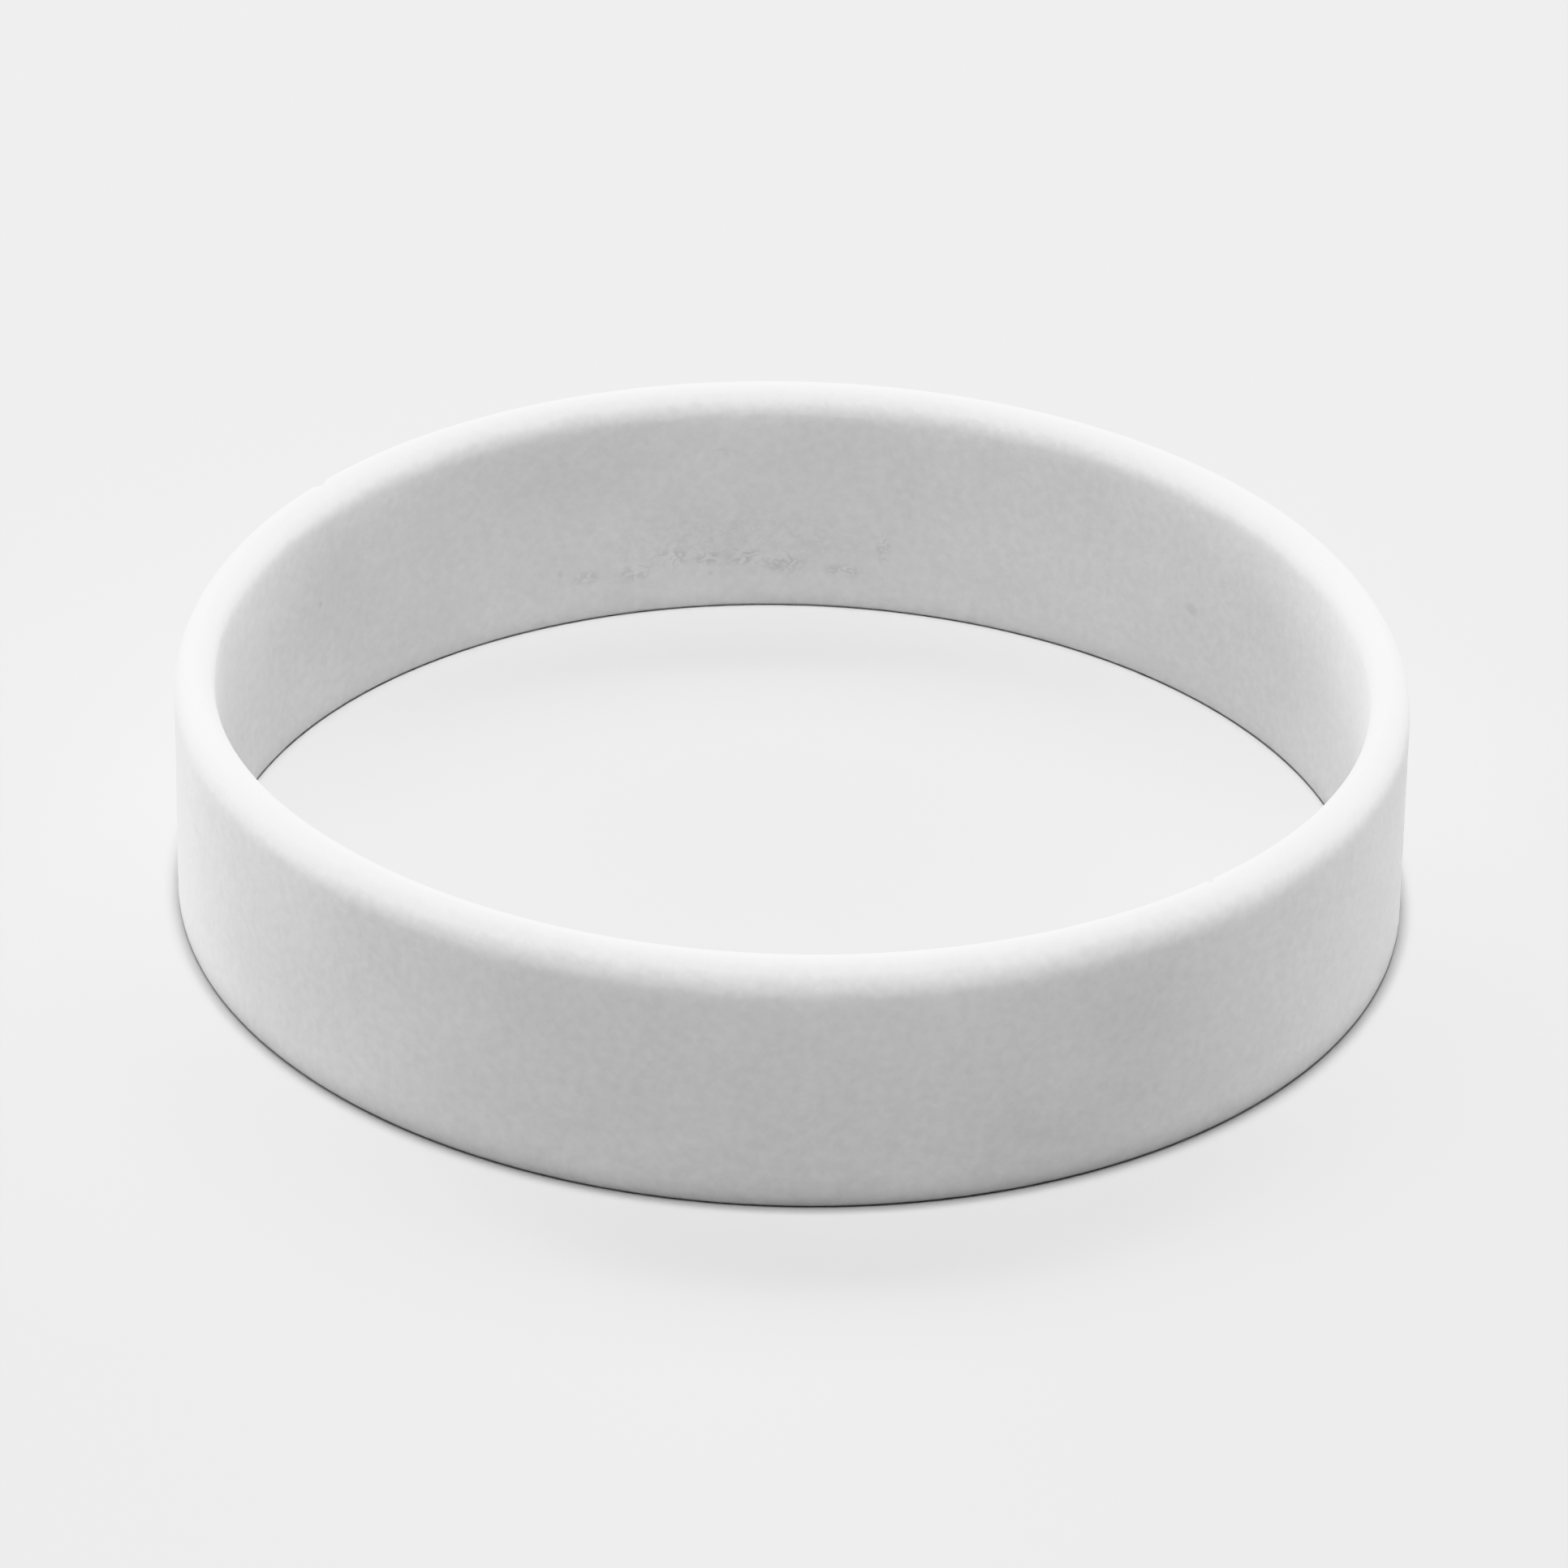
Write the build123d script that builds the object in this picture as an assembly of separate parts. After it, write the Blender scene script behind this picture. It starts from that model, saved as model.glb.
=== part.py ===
"""A plain white silicone wristband, lying on its side as it rests on a table.

The real band is moulded in one piece, so the model is one solid: a closed
hoop with upright walls, an arched upper rim and a flat lower one, bent to a
slightly oval plan.
Millimetres. +Z is up, and +Y is the long way of the oval. The origin is the
middle of the hoop at the height of the lower rim.
"""
from build123d import *
from math import asin, cos, degrees, pi, radians, sin
from typing import NamedTuple
import os

# Driving dimensions
BAND_LENGTH = 202.0  # once round the outer wall, an adult's size
BAND_HEIGHT = 12.7  # half an inch from rim to rim
WALL = 2.0  # between the outer and the inner wall

# Across the upper rim, three tangent arcs join the two walls
OUTER_ARC = 1.3 * WALL
INNER_ARC = 1.1 * WALL
CROWN_ARC = 0.15 * WALL  # the short one at the top
FOOT_RADIUS = 0.1 * WALL  # rounding of the lower rim's two edges

# The oval is a closed chain of tangent arcs that turn by equal angles. Their
# radius is longest on the two sides, facing X, and shortest at the two ends.
BEND_SWING = 4.8  # how far the radius swings either way from its mean
BENDS = 16  # arcs in the chain, a multiple of four

# Two small nicks that run slantwise over the shoulders of the upper rim
OUTER_NICK_WIDTH = 0.92
OUTER_NICK_DEPTH = 0.2
INNER_NICK_WIDTH = 0.36
INNER_NICK_DEPTH = 0.25
NICK_SLANT = 45.0  # degrees between a nick's ridge and the section


class Bend(NamedTuple):
    """One arc of the oval, on the outer wall."""

    centre: Vector
    radius: float
    bearing: float  # degrees from +X to the way that the arc's middle faces


class Nick(NamedTuple):
    """A V-shaped nick over one shoulder of the upper rim."""

    bearing: float  # degrees from +X to the way that the wall faces there
    outside: bool  # over the outer shoulder, or else the inner one
    width: float  # square to its ridge
    depth: float


NICKS = (
    Nick(bearing=143.9, outside=True, width=OUTER_NICK_WIDTH, depth=OUTER_NICK_DEPTH),
    Nick(bearing=310.8, outside=False, width=INNER_NICK_WIDTH, depth=INNER_NICK_DEPTH),
)


def facing(bearing: float) -> Vector:
    """The level direction at a bearing in degrees."""
    return Vector(cos(radians(bearing)), sin(radians(bearing)))


def bends() -> list[Bend]:
    """The arcs of the outer wall, in order, with the oval centred on Z."""
    turn = 360 / BENDS
    mean_radius = BAND_LENGTH / (2 * pi)
    chain = []
    centre = Vector(0, 0)
    for step in range(BENDS):
        bearing = step * turn
        radius = mean_radius + BEND_SWING * cos(radians(2 * bearing))
        if chain:
            # Neighbours share a normal where they meet, so they are tangent
            shared = facing(bearing - turn / 2)
            centre = chain[-1].centre + shared * (chain[-1].radius - radius)
        chain.append(Bend(centre, radius, bearing))
    # The arc that faces +Y has its centre on the Y axis
    shift = Vector(-chain[BENDS // 4].centre.X, 0)
    return [bend._replace(centre=bend.centre + shift) for bend in chain]


def arch_lean() -> float:
    """Degrees from the vertical to where the crown arc meets its neighbours."""
    return degrees(asin((OUTER_ARC + INNER_ARC - WALL) / (OUTER_ARC + INNER_ARC - 2 * CROWN_ARC)))


def arc_level(radius: float) -> float:
    """The height of the centre of an arc that joins a wall to the crown arc."""
    return BAND_HEIGHT - CROWN_ARC - (radius - CROWN_ARC) * cos(radians(arch_lean()))


def section() -> Face:
    """The cut through the band, with X inwards from the outer wall and Z up."""
    lean = arch_lean()
    crown_inset = OUTER_ARC - (OUTER_ARC - CROWN_ARC) * sin(radians(lean))
    outer = CenterArc((OUTER_ARC, arc_level(OUTER_ARC)), OUTER_ARC, 90 + lean, 90 - lean)
    crown = CenterArc((crown_inset, BAND_HEIGHT - CROWN_ARC), CROWN_ARC, 90 - lean, 2 * lean)
    inner = CenterArc((WALL - INNER_ARC, arc_level(INNER_ARC)), INNER_ARC, 0, 90 - lean)
    outer_foot = CenterArc((FOOT_RADIUS, FOOT_RADIUS), FOOT_RADIUS, 180, 90)
    inner_foot = CenterArc((WALL - FOOT_RADIUS, FOOT_RADIUS), FOOT_RADIUS, 270, 90)
    return make_face([
        outer,
        crown,
        inner,
        Line(inner @ 0, inner_foot @ 1),
        inner_foot,
        Line(inner_foot @ 0, outer_foot @ 1),
        outer_foot,
        Line(outer_foot @ 0, outer @ 1),
    ])


def hoop() -> Part:
    """The bare band, the section swung round each bend in turn."""
    turn = 360 / BENDS
    pieces = []
    for bend in bends():
        # The section's X runs towards the bend's centre, from the outer wall
        start = facing(bend.bearing - turn / 2)
        wall = bend.centre + start * bend.radius
        cut = Plane(origin=wall, x_dir=-start, z_dir=Vector(0, 0, 1).cross(start)) * section()
        pieces.append(revolve(cut, Axis(bend.centre, (0, 0, 1)), turn))
    return pieces[0] + pieces[1:]


def nick_cutter(nick: Nick) -> Part:
    """A wedge whose ridge lies over a shoulder, where the crown arc ends."""
    turn = 360 / BENDS
    bend = bends()[round(nick.bearing / turn) % BENDS]
    outward = facing(nick.bearing)
    away = outward if nick.outside else -outward
    arc = OUTER_ARC if nick.outside else INNER_ARC
    inset = OUTER_ARC if nick.outside else WALL - INNER_ARC
    centre = bend.centre + outward * (bend.radius - inset) + Vector(0, 0, arc_level(arc))
    lean = radians(arch_lean())
    out_of_edge = away * sin(lean) + Vector(0, 0, cos(lean))
    round_hoop = away.cross(Vector(0, 0, 1))
    place = Plane(origin=centre + out_of_edge * arc, x_dir=round_hoop, z_dir=out_of_edge)
    # The wedge widens past the rim's surface, where it is as wide as the nick,
    # and it is long enough to leave the rim at both its ends
    top = WALL / 2
    half_width = nick.width / 2 * (nick.depth + top) / nick.depth
    profile = Polyline((0, -nick.depth), (half_width, top), (-half_width, top), close=True)
    wedge = extrude(Plane.XZ * make_face(profile), WALL, both=True)
    return place * Rotation(0, 0, -NICK_SLANT) * wedge


def band() -> Part:
    """The finished wristband."""
    return hoop() - [nick_cutter(nick) for nick in NICKS]


PIECES = {"band": band}

os.makedirs("parts", exist_ok=True)
for name, make in PIECES.items():
    export_step(make(), f"parts/{name}.step")
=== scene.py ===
"""A plain white silicone wristband, lying on its side on a pale studio floor.

Metres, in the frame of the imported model: +Z is up, +Y is the long way of the
band's oval, and the origin is the middle of the hoop at the floor.

The band is one moulded piece, so it is one closed mesh. Geometry Nodes roll a
grid of faces into its section and round its oval, because both follow a rule.
"""
import logging
from dataclasses import dataclass, field
from enum import Enum
from math import asin, cos, pi, radians, sin
from typing import Any

import bpy
from mathutils import Matrix, Vector


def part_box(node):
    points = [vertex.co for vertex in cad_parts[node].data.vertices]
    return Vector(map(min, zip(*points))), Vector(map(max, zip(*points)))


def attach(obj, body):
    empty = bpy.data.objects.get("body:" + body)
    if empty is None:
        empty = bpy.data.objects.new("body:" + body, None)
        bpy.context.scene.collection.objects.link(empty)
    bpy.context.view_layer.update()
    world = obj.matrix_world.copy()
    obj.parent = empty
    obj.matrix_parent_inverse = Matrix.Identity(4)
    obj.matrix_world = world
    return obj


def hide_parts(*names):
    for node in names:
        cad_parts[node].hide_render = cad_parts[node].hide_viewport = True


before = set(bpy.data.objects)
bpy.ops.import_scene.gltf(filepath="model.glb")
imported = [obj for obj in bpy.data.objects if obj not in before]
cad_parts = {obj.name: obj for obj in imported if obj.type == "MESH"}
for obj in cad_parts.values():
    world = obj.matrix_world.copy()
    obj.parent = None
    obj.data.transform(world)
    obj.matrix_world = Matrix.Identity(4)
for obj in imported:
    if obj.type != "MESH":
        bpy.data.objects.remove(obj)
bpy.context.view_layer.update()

log = logging.getLogger("wristband")

MM = 0.001
PHOTO_SIDE = 1932  # pixels, the photograph is square


class Wall(Enum):
    """The band's two upright walls, which its rims join."""

    OUTER = "outer"
    INNER = "inner"


class Wire:
    """A node's output, which Python's operators turn into Math nodes."""

    def __init__(self, graph: "Graph", socket: bpy.types.NodeSocket) -> None:
        """Keep the socket and the graph that it belongs to.

        Args:
            graph: The graph that new nodes go into.
            socket: The output socket to wrap.
        """
        self.graph = graph
        self.socket = socket

    def math(self, operation: str, *others: Any) -> "Wire":
        """Run this value, and any others after it, through a Math node.

        Args:
            operation: The Math node's operation.
            others: Values or wires for the sockets after the first.

        Returns:
            The node's result.
        """
        return self.graph.math(operation, self, *others)

    def __add__(self, other: Any) -> "Wire":
        """This plus other."""
        return self.math("ADD", other)

    def __radd__(self, other: Any) -> "Wire":
        """Other plus this."""
        return self.graph.math("ADD", other, self)

    def __sub__(self, other: Any) -> "Wire":
        """This less other."""
        return self.math("SUBTRACT", other)

    def __rsub__(self, other: Any) -> "Wire":
        """Other less this."""
        return self.graph.math("SUBTRACT", other, self)

    def __mul__(self, other: Any) -> "Wire":
        """This times other."""
        return self.math("MULTIPLY", other)

    def __rmul__(self, other: Any) -> "Wire":
        """Other times this."""
        return self.graph.math("MULTIPLY", other, self)

    def __truediv__(self, other: Any) -> "Wire":
        """This over other."""
        return self.math("DIVIDE", other)

    def __abs__(self) -> "Wire":
        """This without its sign."""
        return self.math("ABSOLUTE")

    def cos(self) -> "Wire":
        """The cosine of this angle in radians."""
        return self.math("COSINE")

    def sin(self) -> "Wire":
        """The sine of this angle in radians."""
        return self.math("SINE")

    def at_least(self, other: Any) -> "Wire":
        """The larger of this and other."""
        return self.math("MAXIMUM", other)

    def at_most(self, other: Any) -> "Wire":
        """The smaller of this and other."""
        return self.math("MINIMUM", other)


class Graph:
    """Builds one node tree, of a material, a world or a Geometry Nodes group."""

    def __init__(self, tree: bpy.types.NodeTree) -> None:
        """Start from an empty tree.

        Args:
            tree: The tree to fill. What it holds is cleared.
        """
        self.tree = tree
        tree.nodes.clear()

    def node(
        self, kind: str, settings: dict[str, Any] | None = None, **sockets: Any
    ) -> bpy.types.Node:
        """Add a node, set it up and feed its sockets.

        Args:
            kind: The node's type, such as ShaderNodeTexNoise.
            settings: Values for the node's own settings, set before its sockets.
            sockets: A value or wire for each named input, with underscores for
                spaces. A name such as _2 means the input of that number.

        Returns:
            The new node.
        """
        made = self.tree.nodes.new(kind)
        for name, value in (settings or {}).items():
            setattr(made, name, value)
        for name, value in sockets.items():
            number = name.removeprefix("_")
            key = int(number) if number.isdigit() else name.replace("_", " ")
            self.feed(made.inputs[key], value)
        return made

    def feed(self, target: bpy.types.NodeSocket, value: Any) -> None:
        """Link a wire or socket to an input, or set the input's value.

        Args:
            target: The input socket.
            value: A wire, an output socket or a plain value.
        """
        if isinstance(value, Wire):
            value = value.socket
        if isinstance(value, bpy.types.NodeSocket):
            self.tree.links.new(value, target)
        else:
            target.default_value = value

    def out(self, node: bpy.types.Node, name: str | int = 0) -> Wire:
        """Wrap an output of a node, by its name or number."""
        return Wire(self, node.outputs[name])

    def math(self, operation: str, *operands: Any) -> Wire:
        """Add a Math node.

        Args:
            operation: Its operation.
            operands: Values or wires, in the order of its sockets.

        Returns:
            Its result.
        """
        sockets = {f"_{place}": operand for place, operand in enumerate(operands)}
        return self.out(self.node("ShaderNodeMath", {"operation": operation}, **sockets))

    def vector(self, x: Any, y: Any, z: Any) -> Wire:
        """Join three numbers into a vector."""
        return self.out(self.node("ShaderNodeCombineXYZ", X=x, Y=y, Z=z))

    def split(self, vector: Wire) -> tuple[Wire, Wire, Wire]:
        """The three numbers of a vector."""
        parts = self.node("ShaderNodeSeparateXYZ", Vector=vector)
        return self.out(parts, "X"), self.out(parts, "Y"), self.out(parts, "Z")

    def ramp(
        self,
        value: Any,
        low: float,
        high: float,
        start: float = 0.0,
        end: float = 1.0,
        smooth: bool = False,
    ) -> Wire:
        """Map a value from one range to another, held at both ends.

        Args:
            value: The value to map.
            low: Where the result is start.
            high: Where the result is end.
            start: The result at low.
            end: The result at high.
            smooth: Ease in and out instead of a straight ramp.

        Returns:
            The mapped value.
        """
        settings = {"interpolation_type": "SMOOTHSTEP" if smooth else "LINEAR", "clamp": True}
        mapped = self.node(
            "ShaderNodeMapRange", settings, _0=value, _1=low, _2=high, _3=start, _4=end
        )
        return self.out(mapped)

    def blend(self, factor: Any, first: Any, second: Any) -> Wire:
        """Mix two colours.

        Args:
            factor: How much of the second shows, from 0 to 1.
            first: The colour, or a wire to it, at 0.
            second: The colour, or a wire to it, at 1.

        Returns:
            The mixed colour.
        """
        mix = self.node("ShaderNodeMix", {"data_type": "RGBA"}, _0=factor, _6=first, _7=second)
        return self.out(mix, 2)


def grey(level: float) -> tuple[float, float, float, float]:
    """An opaque neutral colour."""
    return (level, level, level, 1.0)


@dataclass(frozen=True)
class Mark:
    """A faint mark on a wall: a speck, a smear, or a patch of painted shade along fine creases."""

    bearing: float  # degrees from +X to the way that the wall's outside faces
    height: float  # metres above the floor
    wide: float  # metres along the wall
    tall: float  # metres up the wall
    strength: float  # how much of the marks' tone shows, from 0 to 1
    wall: Wall = Wall.INNER
    # a creased mark is painted shade along fine creases, drawn in the colour; an uncreased one is a
    # speck or a smear
    crease_shaded: bool = True


@dataclass(frozen=True)
class WhiteSilicone:
    """White silicone rubber, as it comes from a fine-blasted mould."""

    light_tone: float = 0.93
    dark_tone: float = 0.835
    # the darkest tone of the specks and smears, and of the painted shade along the creases
    mark_and_crease_shade_tone: float = 0.62
    depth: float = 1.0 * MM  # how far light travels under the skin
    roughness: float = 0.52
    roughness_swing: float = 0.12
    ior: float = 1.41
    cloud: float = 9 * MM  # across one soft patch of tone
    mottle: float = 0.5 * MM  # across one fleck of the skin's mottling
    grain: float = 0.16 * MM  # across one pit of the mould's blasting
    cloud_sway: float = 1.3  # how far each of the three patterns sways the tone
    mottle_sway: float = 1.1
    grain_sway: float = 0.4
    relief: float = 0.008 * MM  # how high the grain stands
    mottle_relief: float = 1.5  # how high the mottling stands, in grains
    # The creases are painted shade: dark lines in the colour, with no relief of their own.
    crease: float = 0.45 * MM  # from one crease up to the next
    crease_squeeze: float = 0.55  # below 1, creases are longer along the wall than up it
    crease_core: float = 0.02  # how far from its middle level the pattern is a full crease
    crease_edge: float = 0.12  # and how far from it a crease has faded out
    break_spacing: float = 1.5  # from one break in the creases to the next, in creases
    break_level: float = 0.34  # where the pattern of breaks is lower, no crease shows
    whole_level: float = 0.46  # and where it is higher, creases show in full
    mark_core: float = 0.3  # how much of a mark's radius has its full strength

    def material(
        self, length: float, inner_share: float, marks: tuple[Mark, ...]
    ) -> bpy.types.Material:
        """Make the finish for the band.

        Args:
            length: Once round the band, to give the marks their width.
            inner_share: Where the chart of the section leaves the inner wall's side.
            marks: The marks to draw.

        Returns:
            The material.
        """
        made = bpy.data.materials.new("moulded_silicone")
        made.use_nodes = True
        graph = Graph(made.node_tree)
        place = graph.out(graph.node("ShaderNodeTexCoord"), "Object")
        clouds = self._noise(graph, place, self.cloud, detail=2.0)
        mottle = self._noise(graph, place, self.mottle, detail=1.0, distortion=0.3)
        grain = self._noise(graph, place, self.grain, detail=2.0)
        tone = (
            0.5
            + (clouds - 0.5) * self.cloud_sway
            + (mottle - 0.5) * self.mottle_sway
            + (grain - 0.5) * self.grain_sway
        ).at_least(0.0).at_most(1.0)
        skin = graph.blend(tone, grey(self.dark_tone), grey(self.light_tone))
        # Specks and smears darken the skin, and so does painted shade along fine creases on the inner
        # wall.
        marks_and_crease_shade = self._marks_and_crease_shade(graph, place, length, inner_share, marks)
        colour = graph.blend(marks_and_crease_shade, skin, grey(self.mark_and_crease_shade_tone))
        roughness = self.roughness + (mottle - 0.5) * self.roughness_swing
        height = grain + mottle * self.mottle_relief
        bump = graph.node("ShaderNodeBump", Strength=1.0, Distance=self.relief, Height=height)
        shader = graph.node(
            "ShaderNodeBsdfPrincipled",
            {"subsurface_method": "RANDOM_WALK"},
            Base_Color=colour,
            Roughness=roughness,
            IOR=self.ior,
            Normal=graph.out(bump),
            Subsurface_Weight=1.0,
            Subsurface_Radius=(1.0, 1.0, 1.0),
            Subsurface_Scale=self.depth,
        )
        graph.node("ShaderNodeOutputMaterial", Surface=graph.out(shader))
        return made

    @staticmethod
    def _noise(
        graph: Graph, place: Wire, across: float, detail: float, distortion: float = 0.0
    ) -> Wire:
        """Soft random patches.

        Args:
            graph: The graph that the nodes go into.
            place: Where on the piece, in metres.
            across: The width of one patch, in metres.
            detail: How many finer layers lie over the patches.
            distortion: How far the patches are pulled out of their round shape.

        Returns:
            A value about 0.5.
        """
        noise = graph.node(
            "ShaderNodeTexNoise",
            Vector=place,
            Scale=1 / across,
            Detail=detail,
            Roughness=0.5,
            Distortion=distortion,
        )
        return graph.out(noise, "Fac")

    def _painted_crease_shade(self, graph: Graph, along: Wire, level: Wire) -> Wire:
        """Thin broken lines that wander along the skin: painted shade of fine creases.

        Args:
            graph: The graph that the nodes go into.
            along: How far round the band, in metres.
            level: How far above the floor.

        Returns:
            How deep in a crease a point is, from 0 to 1, which the marks paint as shade.
        """
        squeezed = graph.vector(along * self.crease_squeeze, level, 0.0)
        hills = self._noise(graph, squeezed, self.crease, detail=1.5, distortion=0.8)
        breaks = self._noise(graph, squeezed, self.crease * self.break_spacing, detail=1.0)
        off_middle = abs(hills - 0.5)
        line = graph.ramp(off_middle, self.crease_core, self.crease_edge, 1.0, 0.0, smooth=True)
        # these lines only darken the colour, as painted shade of the creases
        return line * graph.ramp(breaks, self.break_level, self.whole_level, smooth=True)

    def _marks_and_crease_shade(
        self,
        graph: Graph,
        place: Wire,
        length: float,
        inner_share: float,
        marks: tuple[Mark, ...],
    ) -> Wire:
        """Add up the marks' darkness: specks and smears, and painted shade along fine creases.

        Args:
            graph: The graph that the nodes go into.
            place: Where on the piece, in metres.
            length: Once round the band.
            inner_share: Where the chart of the section leaves the inner wall's side.
            marks: The marks to draw.

        Returns:
            How dark the marks and the painted crease shade are, from 0 to 1.
        """
        chart = graph.out(graph.node("ShaderNodeUVMap", {"uv_map": Wristband.CHART}))
        along, across, _ = graph.split(chart)
        _, _, level = graph.split(place)
        inside = across.math("LESS_THAN", inner_share)
        sides = {Wall.INNER: inside, Wall.OUTER: 1 - inside}
        # painted shade along fine creases
        crease = self._painted_crease_shade(graph, along * length, level)
        spots = []
        for mark in marks:
            sideways = (along - mark.bearing / 360) * (2 * length / mark.wide)
            upward = (level - mark.height) * (2 / mark.tall)
            apart = (sideways * sideways + upward * upward).math("SQRT")
            spot = graph.ramp(apart, self.mark_core, 1.0, mark.strength, 0.0, smooth=True)
            spot = spot * sides[mark.wall]
            # a creased mark shows only along the creases, as painted shade
            spots.append(spot * crease if mark.crease_shaded else spot)
        return sum(spots[1:], spots[0]).at_most(1.0)


@dataclass(frozen=True)
class StudioFloor:
    """A matt pale floor."""

    tone: float = 0.57
    tone_swing: float = 0.006
    patch: float = 90 * MM
    roughness: float = 0.9

    def material(self) -> bpy.types.Material:
        """Make the finish for the floor."""
        made = bpy.data.materials.new("studio_floor")
        made.use_nodes = True
        graph = Graph(made.node_tree)
        place = graph.out(graph.node("ShaderNodeTexCoord"), "Object")
        patches = graph.node("ShaderNodeTexNoise", Vector=place, Scale=1 / self.patch, Detail=2.0)
        darkest, lightest = self.tone - self.tone_swing, self.tone + self.tone_swing
        colour = graph.blend(graph.out(patches, "Fac"), grey(darkest), grey(lightest))
        shader = graph.node("ShaderNodeBsdfPrincipled", Base_Color=colour, Roughness=self.roughness)
        graph.node("ShaderNodeOutputMaterial", Surface=graph.out(shader))
        return made


@dataclass(frozen=True)
class Nick:
    """A V-shaped nick over one shoulder of the upper rim."""

    bearing: float  # degrees from +X to the way that the wall faces there
    side: Wall  # the wall whose shoulder it runs over
    width: float  # square to its ridge
    depth: float
    slant: float = 45.0  # degrees between its ridge and the section


@dataclass(frozen=True)
class Arc:
    """A rounded stretch of the section's outline."""

    name: str
    radius: float
    start: float  # radians from the vertical that the outline faces, above 0 inwards
    sweep: float  # radians that it turns by
    rows: int  # faces along it

    @property
    def length(self) -> float:
        """How long the stretch is."""
        return self.radius * self.sweep

    def sizes(self) -> dict[str, float]:
        """The tree's inputs for this stretch, with their values."""
        return {
            f"{self.name} radius": self.radius,
            f"{self.name} start": self.start,
            f"{self.name} sweep": self.sweep,
        }

    def walk(self, size: dict[str, Wire], progress: Wire) -> tuple[Wire, Wire, Wire]:
        """Go some way along the stretch.

        Args:
            size: The tree's sizes.
            progress: How much of the stretch lies behind, from 0 to 1.

        Returns:
            The steps made inwards and upwards, and the distance.
        """
        radius = size[f"{self.name} radius"]
        start = size[f"{self.name} start"]
        turn = size[f"{self.name} sweep"] * progress
        facing = start + turn
        inwards = radius * (facing.sin() - start.sin())
        upwards = radius * (facing.cos() - start.cos())
        return inwards, upwards, radius * turn


@dataclass(frozen=True)
class Run:
    """A straight stretch of the section's outline."""

    name: str
    inwards: float
    upwards: float
    rows: int  # faces along it

    @property
    def length(self) -> float:
        """How long the stretch is."""
        return abs(self.inwards) + abs(self.upwards)

    def sizes(self) -> dict[str, float]:
        """The tree's inputs for this stretch, with their values."""
        return {f"{self.name} inwards": self.inwards, f"{self.name} upwards": self.upwards}

    def walk(self, size: dict[str, Wire], progress: Wire) -> tuple[Wire, Wire, Wire]:
        """Go some way along the stretch.

        Args:
            size: The tree's sizes.
            progress: How much of the stretch lies behind, from 0 to 1.

        Returns:
            The steps made inwards and upwards, and the distance.
        """
        inwards = size[f"{self.name} inwards"] * progress
        upwards = size[f"{self.name} upwards"] * progress
        return inwards, upwards, abs(inwards) + abs(upwards)


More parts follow.
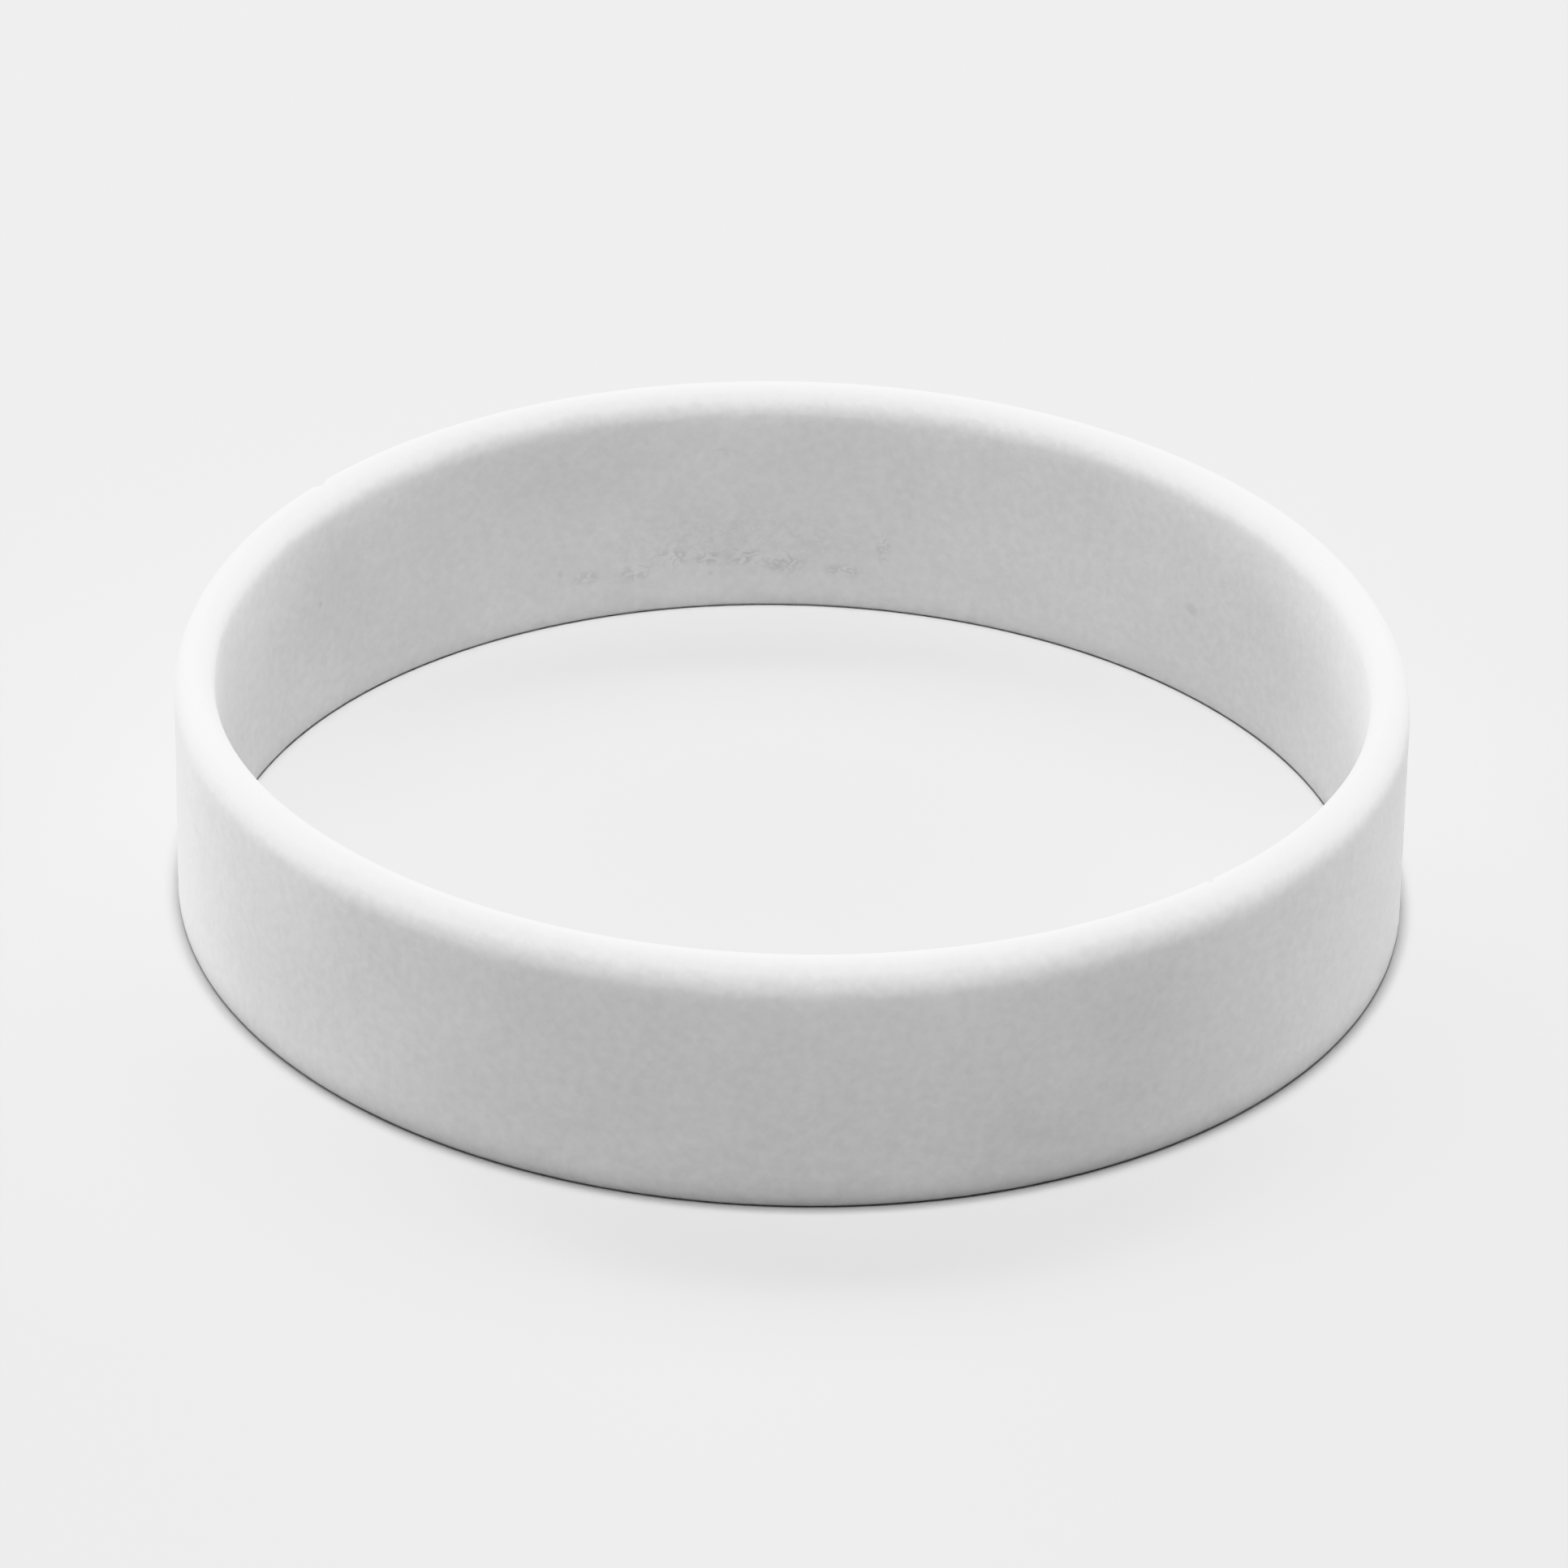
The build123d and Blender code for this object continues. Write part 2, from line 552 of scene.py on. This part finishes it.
@dataclass
class Wristband:
    """The whole band, one moulded piece."""

    CHART = "chart"  # the name of its UV map: once round, and once round the section

    low: Vector
    high: Vector
    wall: float = 2.0 * MM
    outer_arc: float = 2.6 * MM
    inner_arc: float = 2.2 * MM
    crown_arc: float = 0.3 * MM
    foot_radius: float = 0.2 * MM
    columns: int = 2000  # of faces round the band
    weld: float = 0.002 * MM  # points that lie closer than this become one
    nicks: tuple[Nick, ...] = (
        Nick(bearing=143.9, side=Wall.OUTER, width=0.92 * MM, depth=0.2 * MM),
        Nick(bearing=310.8, side=Wall.INNER, width=0.36 * MM, depth=0.25 * MM),
    )
    # The creased marks are painted shade along fine creases on the inner wall; the uncreased ones are
    # specks and a smear.
    marks: tuple[Mark, ...] = (
        Mark(bearing=110.3, height=2.5 * MM, wide=2.8 * MM, tall=1.1 * MM, strength=0.33),
        Mark(bearing=104.3, height=2.4 * MM, wide=3.6 * MM, tall=1.3 * MM, strength=0.35),
        Mark(bearing=99.5, height=3.1 * MM, wide=3.0 * MM, tall=1.3 * MM, strength=0.33),
        Mark(bearing=95.3, height=2.9 * MM, wide=2.4 * MM, tall=1.0 * MM, strength=0.35),
        Mark(bearing=90.9, height=2.9 * MM, wide=3.0 * MM, tall=1.3 * MM, strength=0.39),
        Mark(bearing=86.2, height=2.5 * MM, wide=3.8 * MM, tall=1.6 * MM, strength=0.39),
        Mark(bearing=79.0, height=2.2 * MM, wide=3.6 * MM, tall=1.1 * MM, strength=0.35),
        Mark(bearing=74.2, height=3.6 * MM, wide=1.4 * MM, tall=2.4 * MM, strength=0.33),
        Mark(bearing=94.0, height=9.0 * MM, wide=1.4 * MM, tall=0.9 * MM, strength=0.30),
        Mark(bearing=92.0, height=4.0 * MM, wide=26 * MM, tall=5.0 * MM, strength=0.14),
        Mark(bearing=113.5, height=3.0 * MM, wide=0.5 * MM, tall=0.5 * MM, strength=0.25, crease_shaded=False),
        Mark(bearing=95.0, height=2.0 * MM, wide=0.5 * MM, tall=0.4 * MM, strength=0.25, crease_shaded=False),
        Mark(bearing=35.8, height=5.1 * MM, wide=1.3 * MM, tall=0.9 * MM, strength=0.34, crease_shaded=False),
        Mark(bearing=147, height=6.7 * MM, wide=0.5 * MM, tall=0.5 * MM, strength=0.3, crease_shaded=False),
        Mark(
            bearing=194,
            height=7.5 * MM,
            wide=2.2 * MM,
            tall=0.8 * MM,
            strength=0.12,
            wall=Wall.OUTER,
            crease_shaded=False,
        ),
    )
    finish: WhiteSilicone = field(default_factory=WhiteSilicone)

    @property
    def height(self) -> float:
        """From rim to rim."""
        return self.high.z - self.low.z

    @property
    def mean_radius(self) -> float:
        """The mean of the outer wall's distances from the middle."""
        return ((self.high.x - self.low.x) + (self.high.y - self.low.y)) / 4

    @property
    def ovalness(self) -> float:
        """How far the ends reach past the mean, and the sides fall short."""
        return ((self.high.y - self.low.y) - (self.high.x - self.low.x)) / 4

    @property
    def arch_lean(self) -> float:
        """The angle from the vertical to where the crown's arc meets its neighbours."""
        overlap = self.outer_arc + self.inner_arc - self.wall
        return asin(overlap / (self.outer_arc + self.inner_arc - 2 * self.crown_arc))

    @property
    def outline(self) -> tuple[Arc | Run, ...]:
        """The section's outline, from the top of the outer wall inwards and round."""
        quarter = pi / 2
        lean = self.arch_lean
        foot = self.foot_radius
        return (
            Arc("Outer arc", self.outer_arc, start=-quarter, sweep=quarter - lean, rows=14),
            Arc("Crown arc", self.crown_arc, start=-lean, sweep=2 * lean, rows=8),
            Arc("Inner arc", self.inner_arc, start=lean, sweep=quarter - lean, rows=12),
            Run("Inner wall", 0.0, foot - self.arc_level(self.inner_arc), rows=3),
            Arc("Inner foot", foot, start=quarter, sweep=quarter, rows=3),
            Run("Lower rim", 2 * foot - self.wall, 0.0, rows=1),
            Arc("Outer foot", foot, start=pi, sweep=quarter, rows=3),
            Run("Outer wall", 0.0, self.arc_level(self.outer_arc) - foot, rows=3),
        )

    def shoulder_inset(self, side: Wall) -> float:
        """How far inside the outer wall the crown's arc meets the arc on this side."""
        if side is Wall.OUTER:
            return self.outer_arc * (1 - sin(self.arch_lean))
        return self.wall - self.inner_arc * (1 - sin(self.arch_lean))

    @property
    def girth(self) -> float:
        """The outline's length, once round the section."""
        return sum(stretch.length for stretch in self.outline)

    @property
    def inner_share(self) -> float:
        """How much of the girth leads over the inner wall to the lower rim's middle."""
        lower_rim, outer_foot, outer_wall = (stretch.length for stretch in self.outline[-3:])
        return 1 - (lower_rim / 2 + outer_foot + outer_wall) / self.girth

    def arc_level(self, radius: float) -> float:
        """How high the centre is of an arc that joins a wall to the crown's arc."""
        return self.height - self.crown_arc - (radius - self.crown_arc) * cos(self.arch_lean)

    def build(self) -> bpy.types.Object:
        """Make the band as a plain mesh with its finish.

        Returns:
            The band's object, at the origin.
        """
        made = self.finish.material(2 * pi * self.mean_radius, self.inner_share, self.marks)
        holder = bpy.data.objects.new("wristband_former", bpy.data.meshes.new("wristband_former"))
        bpy.context.scene.collection.objects.link(holder)
        modifier = holder.modifiers.new("roll", "NODES")
        modifier.node_group = self._tree(made)
        self._set_inputs(modifier)
        evaluated = holder.evaluated_get(bpy.context.evaluated_depsgraph_get())
        mesh = bpy.data.meshes.new_from_object(evaluated)
        holder.modifiers.remove(modifier)
        bpy.data.objects.remove(holder)
        mesh.name = "wristband"
        # The former's empty slot comes first, and the finish is the only one needed
        mesh.materials.clear()
        mesh.materials.append(made)
        band = bpy.data.objects.new("wristband", mesh)
        bpy.context.scene.collection.objects.link(band)
        return band

    def _sizes(self) -> dict[str, float]:
        """The named inputs of the tree, with their values."""
        sizes = {
            "Mean radius": self.mean_radius,
            "Ovalness": self.ovalness,
            "Outer wall top": self.arc_level(self.outer_arc),
            "Shoulder lean": self.arch_lean,
            "Shoulder level": self.height - self.crown_arc * (1 - cos(self.arch_lean)),
        }
        for stretch in self.outline:
            sizes.update(stretch.sizes())
        for nick in self.nicks:
            side = nick.side.value
            sizes[f"Nick bearing, {side}"] = radians(nick.bearing)
            sizes[f"Nick width, {side}"] = nick.width
            sizes[f"Nick depth, {side}"] = nick.depth
            sizes[f"Nick slant, {side}"] = radians(nick.slant)
            sizes[f"Shoulder inset, {side}"] = self.shoulder_inset(nick.side)
        return sizes

    def _set_inputs(self, modifier: bpy.types.NodesModifier) -> None:
        """Give the modifier its sizes, each by its socket's identifier."""
        sizes = self._sizes()
        for item in modifier.node_group.interface.items_tree:
            if item.item_type == "SOCKET" and item.in_out == "INPUT":
                modifier[item.identifier] = sizes[item.name]

    def _tree(self, finish: bpy.types.Material) -> bpy.types.NodeTree:
        """Build the Geometry Nodes group that rolls the band.

        Args:
            finish: The material for all its faces.

        Returns:
            The group.
        """
        tree = bpy.data.node_groups.new("roll_band", "GeometryNodeTree")
        for name in self._sizes():
            tree.interface.new_socket(name, in_out="INPUT", socket_type="NodeSocketFloat")
        tree.interface.new_socket("Band", in_out="OUTPUT", socket_type="NodeSocketGeometry")
        graph = Graph(tree)
        sources = graph.node("NodeGroupInput")
        size = {name: graph.out(sources, name) for name in self._sizes()}
        rows = sum(stretch.rows for stretch in self.outline)
        grid = graph.node(
            "GeometryNodeMeshGrid",
            Size_X=1.0,
            Size_Y=1.0,
            Vertices_X=self.columns + 1,
            Vertices_Y=rows + 1,
        )
        x, y, _ = graph.split(graph.out(graph.node("GeometryNodeInputPosition")))
        bearing = (x + 0.5) * (2 * pi)
        inset, level, travelled = self._section(graph, size, (y + 0.5) * rows)
        inset, level = self._cut_nicks(size, bearing, inset, level)
        chart = graph.node(
            "GeometryNodeStoreNamedAttribute",
            {"data_type": "FLOAT2", "domain": "CORNER"},
            Geometry=graph.out(grid, "Mesh"),
            Name=self.CHART,
            Value=graph.vector(x + 0.5, travelled / self.girth, 0.0),
        )
        placed = graph.node(
            "GeometryNodeSetPosition",
            Geometry=graph.out(chart),
            Position=self._on_oval(graph, size, bearing, inset, level),
        )
        closed = graph.node(
            "GeometryNodeMergeByDistance", Geometry=graph.out(placed), Distance=self.weld
        )
        smooth = graph.node(
            "GeometryNodeSetShadeSmooth", Geometry=graph.out(closed), Shade_Smooth=True
        )
        real = graph.node("GeometryNodeRealizeInstances", Geometry=graph.out(smooth))
        dressed = graph.node("GeometryNodeSetMaterial", Geometry=graph.out(real), Material=finish)
        graph.node("NodeGroupOutput", Band=graph.out(dressed))
        return tree

    def _section(
        self, graph: Graph, size: dict[str, Wire], row: Wire
    ) -> tuple[Wire, Wire, Wire]:
        """Walk along the section's outline.

        Args:
            graph: The graph that the nodes go into.
            size: The tree's sizes.
            row: How many rows of faces along the outline.

        Returns:
            The inset from the outer wall, the height above the floor and the
            distance travelled.
        """
        inset = row * 0.0
        level = size["Outer wall top"]
        travelled = row * 0.0
        start = 0
        for stretch in self.outline:
            progress = graph.ramp(row, float(start), float(start + stretch.rows))
            inwards, upwards, distance = stretch.walk(size, progress)
            inset = inset + inwards
            level = level + upwards
            travelled = travelled + distance
            start += stretch.rows
        return inset, level, travelled

    def _cut_nicks(
        self, size: dict[str, Wire], bearing: Wire, inset: Wire, level: Wire
    ) -> tuple[Wire, Wire]:
        """Lower the rim to the floors of its nicks.

        A floor is two flats that meet in a ridge. The ridge lies in line with
        the rim's slope at the shoulder, at a slant to the section.

        Args:
            size: The tree's sizes.
            bearing: The way that the wall faces, in radians from +X.
            inset: How far inside the outer wall.
            level: How far above the floor.

        Returns:
            The new inset and level.
        """
        # The outer wall's own radius, which follows from the curve in _on_oval
        bend = size["Mean radius"] + size["Ovalness"] * 3 * (bearing * 2).cos()
        upwards = size["Shoulder lean"].cos()
        for nick in self.nicks:
            side = nick.side.value
            inwards = size["Shoulder lean"].sin() * (-1 if nick.side is Wall.OUTER else 1)
            step_in = inset - size[f"Shoulder inset, {side}"]
            step_up = level - size["Shoulder level"]
            round_band = (bearing - size[f"Nick bearing, {side}"]) * bend
            over_rim = step_in * upwards - step_up * inwards
            slant = size[f"Nick slant, {side}"]
            off_ridge = abs(round_band * slant.cos() - over_rim * slant.sin())
            share = 1 - off_ridge * 2 / size[f"Nick width, {side}"]
            rise = step_in * inwards + step_up * upwards
            cut = (rise + share * size[f"Nick depth, {side}"]).at_least(0.0)
            inset = inset - inwards * cut
            level = level - upwards * cut
        return inset, level

    @staticmethod
    def _on_oval(
        graph: Graph, size: dict[str, Wire], bearing: Wire, inset: Wire, level: Wire
    ) -> Wire:
        """Put a point of the section on the oval.

        The outer wall is the curve whose tangent lies this far from the middle:
        the mean radius, less the ovalness times the cosine of twice the bearing.

        Args:
            graph: The graph that the nodes go into.
            size: The tree's sizes.
            bearing: The way that the wall faces, in radians from +X.
            inset: How far inside the outer wall.
            level: How far above the floor.

        Returns:
            The point.
        """
        reach = size["Mean radius"] - size["Ovalness"] * (bearing * 2).cos() - inset
        slide = size["Ovalness"] * (bearing * 2).sin() * 2
        x = reach * bearing.cos() - slide * bearing.sin()
        y = reach * bearing.sin() + slide * bearing.cos()
        return graph.vector(x, y, level)


@dataclass(frozen=True)
class SoftBox:
    """A large soft lamp that points at the band."""

    name: str
    bearing: float  # degrees from +X to the way that it stands from the band
    elevation: float  # degrees above the floor
    width: float
    height: float
    watts: float
    distance: float = 1.5

    def place(self, aim: Vector) -> bpy.types.Object:
        """Stand the lamp up.

        Args:
            aim: What it points at.

        Returns:
            The lamp's object.
        """
        lamp = bpy.data.lights.new(self.name, "AREA")
        lamp.shape = "RECTANGLE"
        lamp.size = self.width
        lamp.size_y = self.height
        lamp.energy = self.watts
        made = bpy.data.objects.new(self.name, lamp)
        away = Vector((
            cos(radians(self.elevation)) * cos(radians(self.bearing)),
            cos(radians(self.elevation)) * sin(radians(self.bearing)),
            sin(radians(self.elevation)),
        ))
        turn = away.to_track_quat("Z", "Y").to_matrix().to_4x4()
        made.matrix_world = Matrix.Translation(aim + away * self.distance) @ turn
        bpy.context.scene.collection.objects.link(made)
        return made


@dataclass(frozen=True)
class Viewpoint:
    """Where the photograph was taken from."""

    distance: float = 400.7 * MM
    elevation: float = 26.61  # degrees above the floor
    swing: float = 4.04  # degrees from straight in front, to the band's left
    roll: float = -0.928  # degrees that the frame is turned
    aside: float = 0.310 * MM  # how far the frame's middle is left of the band's
    below: float = 1.086 * MM  # and how far under it
    focal_pixels: float = 9896.0  # of the photograph's own pixels
    sensor: float = 36.0  # millimetres, the frame's width on the camera's sensor

    def place(self, middle: Vector) -> bpy.types.Object:
        """Set up the scene's camera.

        Args:
            middle: The middle of the band.

        Returns:
            The camera's object.
        """
        lens = bpy.data.cameras.new("camera")
        lens.sensor_fit = "HORIZONTAL"
        lens.sensor_width = self.sensor
        lens.lens = self.sensor * self.focal_pixels / PHOTO_SIDE
        lens.clip_start = 0.01
        swing, rise, roll = radians(self.swing), radians(self.elevation), radians(self.roll)
        back = Vector((-sin(swing) * cos(rise), -cos(swing) * cos(rise), sin(rise)))
        right = Vector((cos(swing), -sin(swing), 0.0))
        up = back.cross(right)
        turned = Matrix((
            right * cos(roll) - up * sin(roll),
            right * sin(roll) + up * cos(roll),
            back,
        )).transposed().to_4x4()
        spot = middle + back * self.distance - right * self.aside - up * self.below
        made = bpy.data.objects.new("camera", lens)
        made.matrix_world = Matrix.Translation(spot) @ turned
        bpy.context.scene.collection.objects.link(made)
        bpy.context.scene.camera = made
        return made


@dataclass
class Studio:
    """The floor, the lamps, the air round them and the camera."""

    middle: Vector
    floor_size: float = 6.0
    sky: float = 0.05
    lamps: tuple[SoftBox, ...] = (
        SoftBox("overhead_lamp", bearing=90, elevation=90, width=0.15, height=0.15, watts=27.0),
        SoftBox("back_lamp", bearing=90, elevation=50, width=1.6, height=0.6, watts=12.0),
        SoftBox("left_back_lamp", bearing=135, elevation=7, width=0.7, height=0.25, watts=10.6),
        SoftBox("right_back_lamp", bearing=30, elevation=7, width=0.7, height=0.25, watts=6.2),
        SoftBox("left_lamp", bearing=180, elevation=12, width=0.7, height=0.4, watts=2.1),
        SoftBox("front_lamp", bearing=270, elevation=7, width=1.6, height=0.3, watts=1.1),
    )
    floor_finish: StudioFloor = field(default_factory=StudioFloor)
    viewpoint: Viewpoint = field(default_factory=Viewpoint)

    def set_up(self) -> None:
        """Lay the floor, stand the lamps up and aim the camera."""
        self._lay_floor()
        for lamp in self.lamps:
            lamp.place(self.middle)
        self._fill_air()
        self.viewpoint.place(self.middle)
        bpy.context.scene.view_settings.view_transform = "Khronos PBR Neutral"
        bpy.context.scene.view_settings.look = "None"

    def _lay_floor(self) -> None:
        """Make the floor, one square that the band rests on."""
        half = self.floor_size / 2
        corners = [(-half, -half, 0), (half, -half, 0), (half, half, 0), (-half, half, 0)]
        mesh = bpy.data.meshes.new("studio_floor")
        mesh.from_pydata(corners, [], [(0, 1, 2, 3)])
        mesh.materials.append(self.floor_finish.material())
        floor = bpy.data.objects.new("studio_floor", mesh)
        bpy.context.scene.collection.objects.link(floor)

    def _fill_air(self) -> None:
        """Light the scene a little from everywhere."""
        world = bpy.data.worlds.new("studio_air")
        world.use_nodes = True
        graph = Graph(world.node_tree)
        glow = graph.node("ShaderNodeBackground", Color=grey(1.0), Strength=self.sky)
        graph.node("ShaderNodeOutputWorld", Surface=graph.out(glow))
        bpy.context.scene.world = world


def main() -> None:
    """Build the band and the studio, and hand them to the frame."""
    logging.basicConfig(level=logging.INFO, format="%(name)s: %(message)s")
    low, high = (Vector(corner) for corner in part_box("band"))
    wristband = Wristband(low, high)
    band = wristband.build()
    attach(band, "root")
    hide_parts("band")
    length = 2 * pi * wristband.mean_radius / MM
    log.info("%s: %d faces, %.1f mm round", band.name, len(band.data.polygons), length)
    Studio(middle=(low + high) / 2).set_up()
    log.info("studio is set up")


if __name__ == "__main__":
    main()
